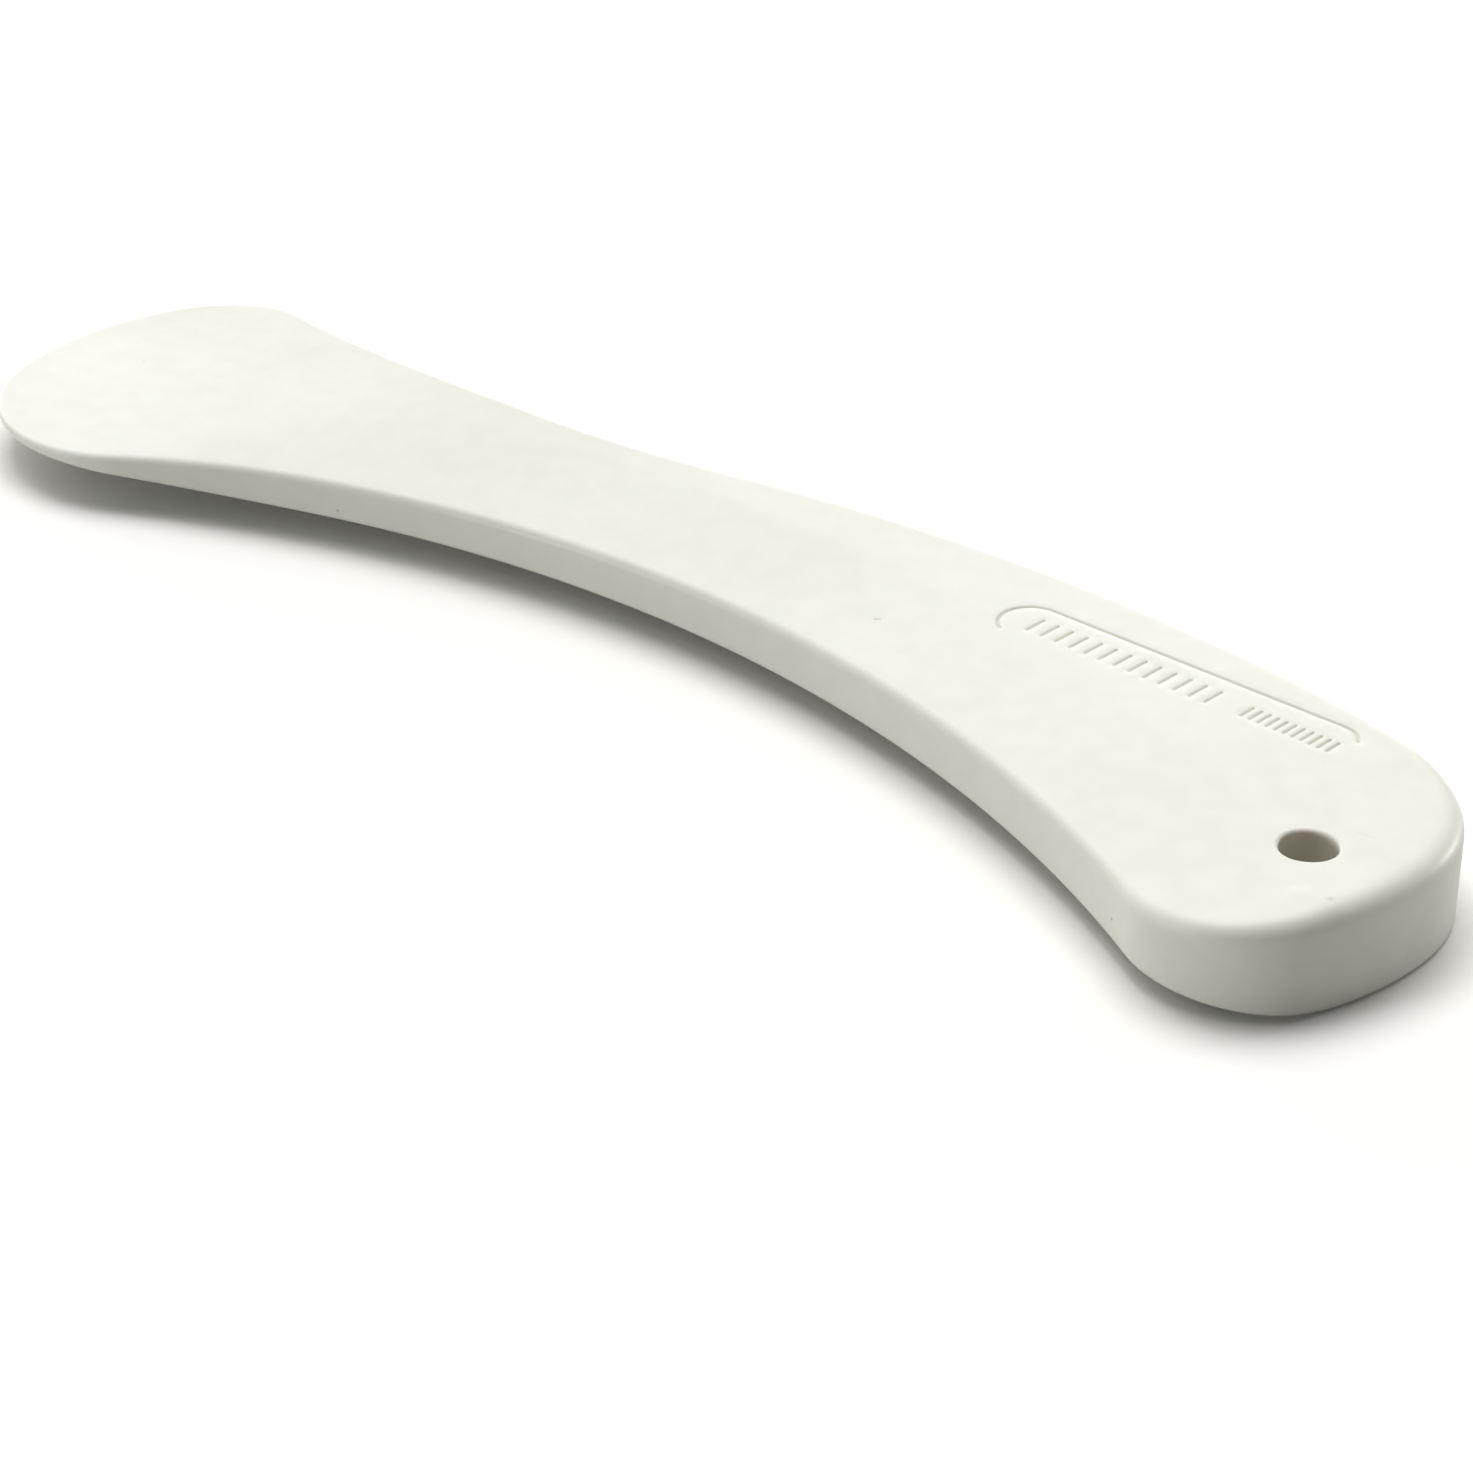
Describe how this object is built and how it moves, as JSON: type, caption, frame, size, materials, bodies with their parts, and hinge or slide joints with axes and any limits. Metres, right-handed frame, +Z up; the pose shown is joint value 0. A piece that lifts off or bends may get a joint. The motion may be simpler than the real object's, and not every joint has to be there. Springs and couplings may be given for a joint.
{
  "type": "creasing and marking spatula",
  "caption": "One-piece curved plastic spatula for creasing paper and marking cloth, with a thin flared blade and a rounded handle that has a hanging hole.",
  "frame": {"origin": "bottom centre of the box round the tool, lying on its flat side", "axes": "+X towards the rounded handle end, +Y towards the convex back edge, +Z up through the thickness"},
  "size_m": [0.1366, 0.0326, 0.0073],
  "materials": {
    "ivory_plastic": "satin injection-moulded plastic, ivory white"
  },
  "bodies": {
    "root": {"spatula_body": "ivory_plastic"}
  },
  "joints": []
}
